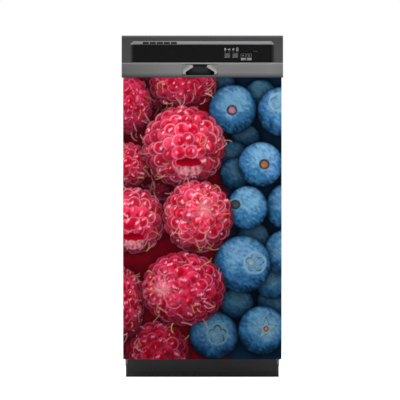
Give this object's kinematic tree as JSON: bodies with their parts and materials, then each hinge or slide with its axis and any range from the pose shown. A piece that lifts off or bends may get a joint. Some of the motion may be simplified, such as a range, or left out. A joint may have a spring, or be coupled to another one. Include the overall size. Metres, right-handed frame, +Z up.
{
  "type": "slimline dishwasher",
  "caption": "Slim free-standing dishwasher with a drop-down door, printed berry cover sheet, dark control fascia with finger-pocket latch, sliding racks and spray arms.",
  "frame": {"origin": "on the floor, under the middle of the machine's overall box", "axes": "+Z up, -Y the door's front, +X to the right seen from the front"},
  "size_m": [0.448, 0.572, 0.949],
  "materials": {
    "graphite_plastic": "moulded ABS, graphite, satin",
    "print_film": "printed magnetic vinyl sheet, berries, satin laminate",
    "window_acrylic": "black acrylic, polished",
    "black_plastic": "moulded polypropylene, black",
    "toe_steel": "steel sheet, dark grey powder coat",
    "cabinet_steel": "steel sheet, graphite paint",
    "stainless": "drawn stainless sheet",
    "zinc_steel": "zinc-plated steel",
    "grey_plastic": "moulded polypropylene, grey",
    "rack_vinyl": "steel wire dipped in grey nylon",
    "rubber": "EPDM seal, black",
    "felt": "pressed felt and bitumen pad",
    "circuit_board": "glass-fibre circuit board, green"
  },
  "bodies": {
    "cabinet": {"base_pan": "zinc_steel", "toe_kick": "toe_steel", "tub": "stainless", "side_panel_left": "cabinet_steel", "side_panel_right": "cabinet_steel", "rear_panel": "cabinet_steel", "top_panel": "cabinet_steel", "tub_gasket": "rubber", "sump": "black_plastic", "filter_plate": "stainless", "circulation_pump": "black_plastic", "drain_pump": "black_plastic", "inlet_valve": "grey_plastic", "terminal_box": "grey_plastic", "spray_riser": "grey_plastic", "heating_element": "zinc_steel", "latch_strike": "zinc_steel", "air_breaker": "grey_plastic", "hinge_bracket_left": "zinc_steel", "hinge_bracket_right": "zinc_steel", "door_spring_left": "zinc_steel", "door_spring_right": "zinc_steel"},
    "door": {"door_outer_panel": "toe_steel", "print_cover": "print_film", "door_inner_liner": "stainless", "control_fascia": "graphite_plastic", "display_window": "window_acrylic", "control_board": "circuit_board", "pocket_cup": "black_plastic", "dispenser_body": "grey_plastic", "sound_pad": "felt", "hinge_arm_left": "zinc_steel", "hinge_arm_right": "zinc_steel"},
    "latch_lever": {"latch_lever": "black_plastic"},
    "latch_catch": {"latch_catch": "zinc_steel"},
    "start_key": {"start_key": "window_acrylic"},
    "programme_key": {"programme_key": "window_acrylic"},
    "detergent_lid": {"detergent_lid": "grey_plastic"},
    "rinse_cap": {"rinse_cap": "black_plastic"},
    "lower_rack": {"lower_rack": "rack_vinyl", "cutlery_basket": "grey_plastic"},
    "tine_row": {"tine_row": "rack_vinyl"},
    "upper_rack": {"upper_rack": "rack_vinyl", "upper_feed_tube": "grey_plastic"},
    "cup_shelf": {"cup_shelf": "rack_vinyl"},
    "upper_rail_left": {"upper_rail_left": "stainless"},
    "upper_rail_right": {"upper_rail_right": "stainless"},
    "upper_spray_arm": {"upper_spray_arm": "grey_plastic"},
    "lower_spray_arm": {"lower_spray_arm": "grey_plastic"},
    "cup_filter": {"cup_filter": "stainless"},
    "float_cup": {"float_cup": "black_plastic"},
    "roller_front_left": {"roller_front_left": "rack_vinyl"},
    "foot_front_left": {"foot_front_left": "black_plastic"},
    "roller_front_right": {"roller_front_right": "rack_vinyl"},
    "foot_front_right": {"foot_front_right": "black_plastic"},
    "roller_rear_left": {"roller_rear_left": "rack_vinyl"},
    "foot_rear_left": {"foot_rear_left": "black_plastic"},
    "roller_rear_right": {"roller_rear_right": "rack_vinyl"},
    "foot_rear_right": {"foot_rear_right": "black_plastic"}
  },
  "joints": [
    {"name": "door_hinge", "type": "hinge", "parent": "cabinet", "child": "door", "pos_m": [0, -0.236, 0.105], "axis": [1, 0, 0], "range_deg": [0, 90], "stiffness_Nm_per_rad": 24},
    {"name": "lower_rack_slide", "type": "slide", "parent": "cabinet", "child": "lower_rack", "axis": [0, -1, 0], "range_m": [0, 0.252]},
    {"name": "upper_rack_slide", "type": "slide", "parent": "cabinet", "child": "upper_rack", "axis": [0, -1, 0], "range_m": [0, 0.36]},
    {"name": "upper_rail_left_slide", "type": "slide", "parent": "cabinet", "child": "upper_rail_left", "axis": [0, -1, 0], "range_m": [0, 0.18]},
    {"name": "upper_rail_right_slide", "type": "slide", "parent": "cabinet", "child": "upper_rail_right", "axis": [0, -1, 0], "range_m": [0, 0.18]},
    {"name": "roller_front_left_turn", "type": "hinge", "parent": "lower_rack", "child": "roller_front_left", "pos_m": [-0.187, -0.1, 0.1633], "axis": [1, 0, 0], "range_deg": [0, 810]},
    {"name": "roller_front_right_turn", "type": "hinge", "parent": "lower_rack", "child": "roller_front_right", "pos_m": [0.187, -0.1, 0.1633], "axis": [1, 0, 0], "range_deg": [0, 810]},
    {"name": "roller_rear_left_turn", "type": "hinge", "parent": "lower_rack", "child": "roller_rear_left", "pos_m": [-0.187, 0.17, 0.1633], "axis": [1, 0, 0], "range_deg": [0, 810]},
    {"name": "roller_rear_right_turn", "type": "hinge", "parent": "lower_rack", "child": "roller_rear_right", "pos_m": [0.187, 0.17, 0.1633], "axis": [1, 0, 0], "range_deg": [0, 810]},
    {"name": "tine_fold", "type": "hinge", "parent": "lower_rack", "child": "tine_row", "pos_m": [0, 0.055, 0.2245], "axis": [-1, 0, 0], "range_deg": [0, 85]},
    {"name": "cup_shelf_fold", "type": "hinge", "parent": "upper_rack", "child": "cup_shelf", "pos_m": [-0.164, 0.01, 0.655], "axis": [0, -1, 0], "range_deg": [0, 85]},
    {"name": "upper_arm_spin", "type": "hinge", "parent": "upper_rack", "child": "upper_spray_arm", "pos_m": [0, 0.02, 0.542], "axis": [0, 0, 1], "continuous": true},
    {"name": "lower_arm_spin", "type": "hinge", "parent": "cabinet", "child": "lower_spray_arm", "pos_m": [0, 0.02, 0.179], "axis": [0, 0, 1], "continuous": true},
    {"name": "latch_pull", "type": "hinge", "parent": "door", "child": "latch_lever", "pos_m": [-0.0065, -0.2598, 0.864], "axis": [-1, 0, 0], "range_deg": [0, 14], "stiffness_Nm_per_rad": 0.6, "springref_deg": -8.59},
    {"name": "catch_turn", "type": "hinge", "parent": "door", "child": "latch_catch", "pos_m": [0, -0.255, 0.9365], "axis": [-1, 0, 0], "range_deg": [0, 5]},
    {"name": "start_key_press", "type": "slide", "parent": "door", "child": "start_key", "axis": [0, 1, 0], "range_m": [0, 0.0012], "stiffness_N_per_m": 400, "springref_m": -0.0008},
    {"name": "programme_key_press", "type": "slide", "parent": "door", "child": "programme_key", "axis": [0, 1, 0], "range_m": [0, 0.0012], "stiffness_N_per_m": 400, "springref_m": -0.0008},
    {"name": "lid_slide", "type": "slide", "parent": "door", "child": "detergent_lid", "axis": [-1, 0, 0], "range_m": [0, 0.05]},
    {"name": "rinse_cap_turn", "type": "hinge", "parent": "door", "child": "rinse_cap", "pos_m": [0.089, -0.2192, 0.556], "axis": [0, 1, 0], "range_deg": [0, 90]},
    {"name": "filter_turn", "type": "hinge", "parent": "cabinet", "child": "cup_filter", "pos_m": [0.032, -0.012, 0.149], "axis": [0, 0, 1], "range_deg": [0, 90]},
    {"name": "float_rise", "type": "slide", "parent": "cabinet", "child": "float_cup", "axis": [0, 0, 1], "range_m": [0, 0.01]},
    {"name": "foot_front_left_turn", "type": "hinge", "parent": "cabinet", "child": "foot_front_left", "pos_m": [-0.18, -0.125, 0.004], "axis": [0, 0, 1], "continuous": true},
    {"name": "foot_front_right_turn", "type": "hinge", "parent": "cabinet", "child": "foot_front_right", "pos_m": [0.18, -0.125, 0.004], "axis": [0, 0, 1], "continuous": true},
    {"name": "foot_rear_left_turn", "type": "hinge", "parent": "cabinet", "child": "foot_rear_left", "pos_m": [-0.18, 0.25, 0.004], "axis": [0, 0, 1], "continuous": true},
    {"name": "foot_rear_right_turn", "type": "hinge", "parent": "cabinet", "child": "foot_rear_right", "pos_m": [0.18, 0.25, 0.004], "axis": [0, 0, 1], "continuous": true}
  ],
  "couplings": [
    {"joint": "lower_rack_slide", "follows": "door_hinge", "m_per_rad": 0.16},
    {"joint": "upper_rack_slide", "follows": "door_hinge", "m_per_rad": 0.229},
    {"joint": "upper_rail_left_slide", "follows": "door_hinge", "m_per_rad": 0.1145},
    {"joint": "upper_rail_right_slide", "follows": "door_hinge", "m_per_rad": 0.1145},
    {"joint": "roller_front_left_turn", "follows": "door_hinge", "ratio": 8.8889},
    {"joint": "roller_front_right_turn", "follows": "door_hinge", "ratio": 8.8889},
    {"joint": "roller_rear_left_turn", "follows": "door_hinge", "ratio": 8.8889},
    {"joint": "roller_rear_right_turn", "follows": "door_hinge", "ratio": 8.8889},
    {"joint": "catch_turn", "follows": "latch_pull", "ratio": 0.35}
  ]
}
